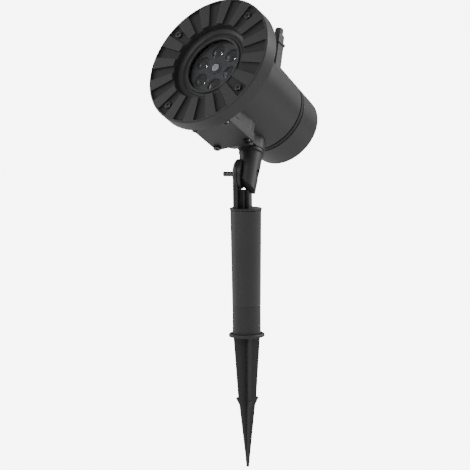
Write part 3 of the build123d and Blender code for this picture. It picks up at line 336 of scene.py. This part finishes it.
# ---------------------------------------------------------------------------
# Bezel. A round ABS moulding screwed over the window. The pocket floors between its
# ribs are duller than the polished ribs and painted darker as painted shade.
# ---------------------------------------------------------------------------
bezel_edge = 0.3 * MM
pocket_depth = 1.8 * MM
wheel_to_face = 15 * MM
lamp_front = Vector(joints["wheel_spin"]["axis"]).normalized()
face_centre = Vector(joints["wheel_spin"]["pos_m"]) + lamp_front * wheel_to_face
# The pocket floors' darker colour is painted shade for the recesses; their higher roughness is a duller
# finish.
pocket_painted_shade = moulded("pocket_painted_shade", (0.004, 0.004, 0.004), (0.007, 0.007, 0.007), (0.62, 0.7),
                     grain_scale=2600.0)
paint_nodes(black_abs, "bezel_ring")
bezel = merged_copy("bezel_ring")
# Faces on the pocket floors take the painted-shade material.
bezel.data.materials.append(pocket_painted_shade)
for face in bezel.data.polygons:
    depth = (face_centre - face.center).dot(lamp_front)
    if abs(depth - pocket_depth) < 0.05 * MM and face.normal.dot(lamp_front) > 0.9:
        face.material_index = 1
round_edges(bezel, bezel_edge)
settle(bezel, bodies["bezel_ring"], "bezel_ring")

# ---------------------------------------------------------------------------
# Covers. The rear cap, the drive compartment's cover and the slide cap are ABS
# mouldings from the same grade as the housing, each held by its own screws.
# ---------------------------------------------------------------------------
cap_edge = 0.3 * MM
cover_edge = 0.6 * MM
slide_cap_edge = 0.25 * MM
paint_nodes(black_abs, "rear_cap", "compartment_cover", "slide_cap")
round_node("rear_cap", cap_edge)
round_node("compartment_cover", cover_edge)
round_node("slide_cap", slide_cap_edge)

# ---------------------------------------------------------------------------
# Thumb knobs. Two knurled ABS knobs screwed into the sides of the slide tower.
# ---------------------------------------------------------------------------
knob_edge = 0.12 * MM
paint_nodes(black_abs, "knob_left", "knob_right")
round_node("knob_left", knob_edge)
round_node("knob_right", knob_edge)

# ---------------------------------------------------------------------------
# Inner mouldings. The slide, wheel and lens carriers and the cable gland are
# the same ABS. The wheel that shows behind the window has its edges rounded.
# ---------------------------------------------------------------------------
wheel_edge = 0.1 * MM
paint_nodes(
    black_abs, "lens_wheel", "slide_frame", "slide_guide", "wheel_bracket", "lens_holder",
    "cable_gland", "gland_nut",
)
round_node("lens_wheel", wheel_edge)

# ---------------------------------------------------------------------------
# Pivot stem. The ABS moulding at the tube's top, plugged into the tube, with the
# lug that the tilt bolt clamps.
# ---------------------------------------------------------------------------
stem_edge = 0.25 * MM
paint_nodes(black_abs, "pivot_stem")
round_node("pivot_stem", stem_edge)

# ---------------------------------------------------------------------------
# Stake tube. An extruded plastic tube with a slight satin shine, pushed over
# the stem above and the spike's socket below.
# ---------------------------------------------------------------------------
tube_edge = 0.2 * MM
tube_plastic = moulded("tube_plastic", (0.022, 0.022, 0.023), (0.028, 0.028, 0.029), (0.34, 0.42),
                       grain_scale=900.0, grain_depth=0.01 * MM, dust_amount=0.06)
paint_nodes(tube_plastic, "stake_tube")
round_node("stake_tube", tube_edge)

# ---------------------------------------------------------------------------
# Ground spike. Tougher, softer polypropylene with a more open grain, moulded in
# one piece with its flange, socket and fins.
# ---------------------------------------------------------------------------
spike_edge = 0.25 * MM
spike_plastic = moulded("spike_plastic", (0.016, 0.016, 0.017), (0.024, 0.024, 0.025), (0.42, 0.55),
                        grain_scale=1200.0, grain_depth=0.03 * MM, dust_amount=0.12)
paint_nodes(spike_plastic, "ground_spike")
round_node("ground_spike", spike_edge)

# ---------------------------------------------------------------------------
# Seals. The band round the rear joint and the window's gasket are dull black
# rubber, squeezed between the mouldings.
# ---------------------------------------------------------------------------
seal_rubber = moulded("seal_rubber", (0.010, 0.010, 0.010), (0.014, 0.014, 0.014), (0.7, 0.8),
                      grain_scale=1500.0, dust_amount=0.15)
paint_nodes(seal_rubber, "seal_band", "window_gasket")

# ---------------------------------------------------------------------------
# Drive and light engine. The pinion is white acetal, the boards are green
# laminate and the emitter has a yellow phosphor face.
# ---------------------------------------------------------------------------
white_acetal = moulded("white_acetal", (0.70, 0.70, 0.67), (0.76, 0.76, 0.73), (0.3, 0.4))
paint_nodes(white_acetal, "drive_pinion")
green_board = moulded("green_board", (0.02, 0.10, 0.04), (0.03, 0.13, 0.05), (0.2, 0.3))
paint_nodes(green_board, "led_board", "driver_board")
emitter_face = moulded("emitter_face", (0.75, 0.62, 0.2), (0.82, 0.7, 0.28), (0.3, 0.4))
paint_nodes(emitter_face, "led_emitter")

# ---------------------------------------------------------------------------
# Bolt and outer screws. Blackened steel with fine scratches, turned and rolled,
# with a small radius on each head.
# ---------------------------------------------------------------------------
screw_edge = 0.1 * MM
wheel_screw_edge = 0.08 * MM


def metal(name, colour, worn, gloss):
    """A metal with fine scratches that lift its colour and roughness."""
    paint = bpy.data.materials.new(name)
    paint.use_nodes = True
    tree = paint.node_tree
    shader = tree.nodes["Principled BSDF"]
    shader.inputs["Metallic"].default_value = 1.0
    where = tree.nodes.new("ShaderNodeTexCoord").outputs["Object"]
    scratches = noise(tree, where, 900.0, detail=6.0, roughness=0.7)
    scuff = spread(tree, scratches.outputs["Fac"], 0, 1, 0.45, 0.7)
    tree.links.new(mix_colour(tree, scuff, colour, worn), shader.inputs["Base Color"])
    tree.links.new(spread(tree, scuff, *gloss, 0, 1), shader.inputs["Roughness"])
    bump_normal(tree, scuff, shader, 0.4, 0.01 * MM)
    return paint


blackened_steel = metal("blackened_steel", (0.05, 0.05, 0.055), (0.16, 0.16, 0.17), (0.28, 0.42))
for node_name in ("hinge_bolt", "bezel_screws", "cover_screws", "cap_screws"):
    paint_nodes(blackened_steel, node_name)
    round_node(node_name, screw_edge)

# ---------------------------------------------------------------------------
# Plated pieces. The wheel's centre screw, the nut, washer, inner screws and the
# motor's can are zinc plated, and the heat sink is extruded aluminium.
# ---------------------------------------------------------------------------
zinc_plate = metal("zinc_plate", (0.55, 0.56, 0.58), (0.68, 0.68, 0.70), (0.25, 0.4))
paint_nodes(
    zinc_plate, "wheel_screw", "hinge_nut", "swivel_washer", "swivel_screw", "wheel_motor",
    "motor_screws", "sink_screws",
)
round_node("wheel_screw", wheel_screw_edge)
sink_aluminium = metal("sink_aluminium", (0.62, 0.62, 0.64), (0.72, 0.72, 0.74), (0.35, 0.5))
paint_nodes(sink_aluminium, "heat_sink")


# ---------------------------------------------------------------------------
# Clear pieces. The window is polished polycarbonate, the lenses are moulded
# acrylic with a grey tint that is painted shade, and the pattern film is printed on a clear sheet.
# ---------------------------------------------------------------------------
def clear(name, tint, streak_tint, gloss, index):
    """A clear plastic: it lets light straight through and reflects more at a glancing angle."""
    paint = bpy.data.materials.new(name)
    paint.use_nodes = True
    tree = paint.node_tree
    tree.nodes.remove(tree.nodes["Principled BSDF"])
    where = tree.nodes.new("ShaderNodeTexCoord").outputs["Object"]
    polish = noise(tree, where, 60.0).outputs["Fac"]
    through = tree.nodes.new("ShaderNodeBsdfTransparent")
    tree.links.new(mix_colour(tree, polish, tint, streak_tint), through.inputs["Color"])
    shine = tree.nodes.new("ShaderNodeBsdfGlossy")
    tree.links.new(spread(tree, polish, *gloss), shine.inputs["Roughness"])
    facing = tree.nodes.new("ShaderNodeLayerWeight").outputs["Facing"]
    rise = tree.nodes.new("ShaderNodeMath")
    rise.operation = "POWER"
    rise.inputs[1].default_value = 5.0
    tree.links.new(facing, rise.inputs[0])
    straight_on = ((index - 1) / (index + 1)) ** 2
    surface = tree.nodes.new("ShaderNodeMixShader")
    tree.links.new(spread(tree, rise.outputs[0], straight_on, 1, 0, 1), surface.inputs["Fac"])
    tree.links.new(through.outputs[0], surface.inputs[1])
    tree.links.new(shine.outputs[0], surface.inputs[2])
    tree.links.new(surface.outputs[0], tree.nodes["Material Output"].inputs["Surface"])
    return paint


window_clear = clear("window_clear", (0.95, 0.96, 0.97), (0.90, 0.91, 0.93), (0.01, 0.04), 1.45)
paint_nodes(window_clear, "front_window")
# The lenses' dark grey tint is painted shade: it darkens them like the shaded interior behind them.
lens_clear_painted_shade = clear("lens_clear_painted_shade", (0.30, 0.31, 0.34), (0.24, 0.25, 0.27), (0.01, 0.03), 1.6)
paint_nodes(lens_clear_painted_shade, "wheel_lenses", "condenser_lens")
film_clear = clear("film_clear", (0.35, 0.5, 0.75), (0.5, 0.35, 0.6), (0.1, 0.2), 1.4)
paint_nodes(film_clear, "pattern_film")

# ---------------------------------------------------------------------------
# Neck knuckle. One ABS moulding: a flat disc against the hinge lug, a slim
# barrel down the neck that is cut off slantwise below the hinge, a collar and
# the swivel pin. The bolt's head sits in a round pocket in the barrel's side.
# ---------------------------------------------------------------------------
knuckle_edge = 0.25 * MM
collar_top = 21.1 * MM
collar_bottom = 18.6 * MM
collar_radius = 10.4 * MM
barrel_top_radius = 9.5 * MM
barrel_hinge_radius = 8.3 * MM
barrel_end = -17.5 * MM
barrel_slope = (barrel_top_radius - barrel_hinge_radius) / collar_bottom
barrel_end_radius = barrel_hinge_radius + barrel_slope * barrel_end
disc_radius = 12.0 * MM
disc_left = -7.3 * MM
disc_right = disc_left + 2.5 * MM
lug_room_radius = 12.8 * MM
lug_room_left = 3 * disc_left
pin_radius = 5.8 * MM
pin_top = 34.9 * MM
pin_root = collar_top - MM
pocket_radius = 4.1 * MM
pocket_floor = 4.2 * MM
pocket_mouth = 5 * pocket_floor
cut_left = Vector((-7.4, 0, -5.5)) * MM
cut_direction = Vector((-0.6, -0.1, -0.8)).normalized()
hinge_axis = Vector((1, 0, 0))
neck_axis = Vector(joints["head_swivel"]["axis"]).normalized()
neck_point = Vector(joints["head_swivel"]["pos_m"])
neck_turn = Matrix((hinge_axis, neck_axis.cross(hinge_axis), neck_axis)).transposed().to_4x4()


def turned_solid(name, low_radius, high_radius, low, high, along_hinge=False):
    """A round solid between two heights, about the neck's axis or the hinge's."""
    bpy.ops.object.select_all(action="DESELECT")
    bpy.ops.mesh.primitive_cone_add(
        vertices=96, radius1=low_radius, radius2=high_radius, depth=high - low,
        location=(0, 0, (low + high) / 2),
    )
    solid = bpy.context.object
    solid.name = name
    bpy.ops.object.transform_apply(location=True, rotation=False, scale=False)
    if along_hinge:
        solid.data.transform(Matrix.Rotation(math.radians(90), 4, "Y"))
    return solid


def combine(piece, other, operation):
    """Join or cut a piece by another solid, which is then removed."""
    select_only(piece)
    cut = piece.modifiers.new(operation.lower(), "BOOLEAN")
    cut.operation = operation
    cut.solver = "EXACT"
    cut.object = other
    bpy.ops.object.modifier_apply(modifier=cut.name)
    bpy.data.objects.remove(other)


knuckle = turned_solid("knuckle_barrel", barrel_end_radius, barrel_top_radius, barrel_end, collar_bottom)
bpy.ops.object.mode_set(mode="EDIT")
bpy.ops.mesh.select_all(action="SELECT")
bpy.ops.mesh.bisect(
    plane_co=cut_left, plane_no=cut_direction, use_fill=True, clear_outer=True, clear_inner=False,
)
bpy.ops.object.mode_set(mode="OBJECT")
collar = turned_solid("collar", collar_radius, collar_radius, collar_bottom, collar_top)
combine(knuckle, collar, "UNION")
pin = turned_solid("pin", pin_radius, pin_radius, pin_root, pin_top)
combine(knuckle, pin, "UNION")
disc = turned_solid("disc", disc_radius, disc_radius, disc_left, disc_right, along_hinge=True)
combine(knuckle, disc, "UNION")
lug_room = turned_solid("lug_room", lug_room_radius, lug_room_radius, lug_room_left, disc_left,
                        along_hinge=True)
combine(knuckle, lug_room, "DIFFERENCE")
head_pocket = turned_solid("head_pocket", pocket_radius, pocket_radius, pocket_floor, pocket_mouth,
                           along_hinge=True)
combine(knuckle, head_pocket, "DIFFERENCE")
round_edges(knuckle, knuckle_edge)
knuckle.data.transform(Matrix.Translation(neck_point) @ neck_turn)
knuckle.data.materials.clear()
knuckle.data.materials.append(black_abs)
paint_nodes(black_abs, "neck_knuckle")
settle(knuckle, "knuckle", "neck_knuckle")
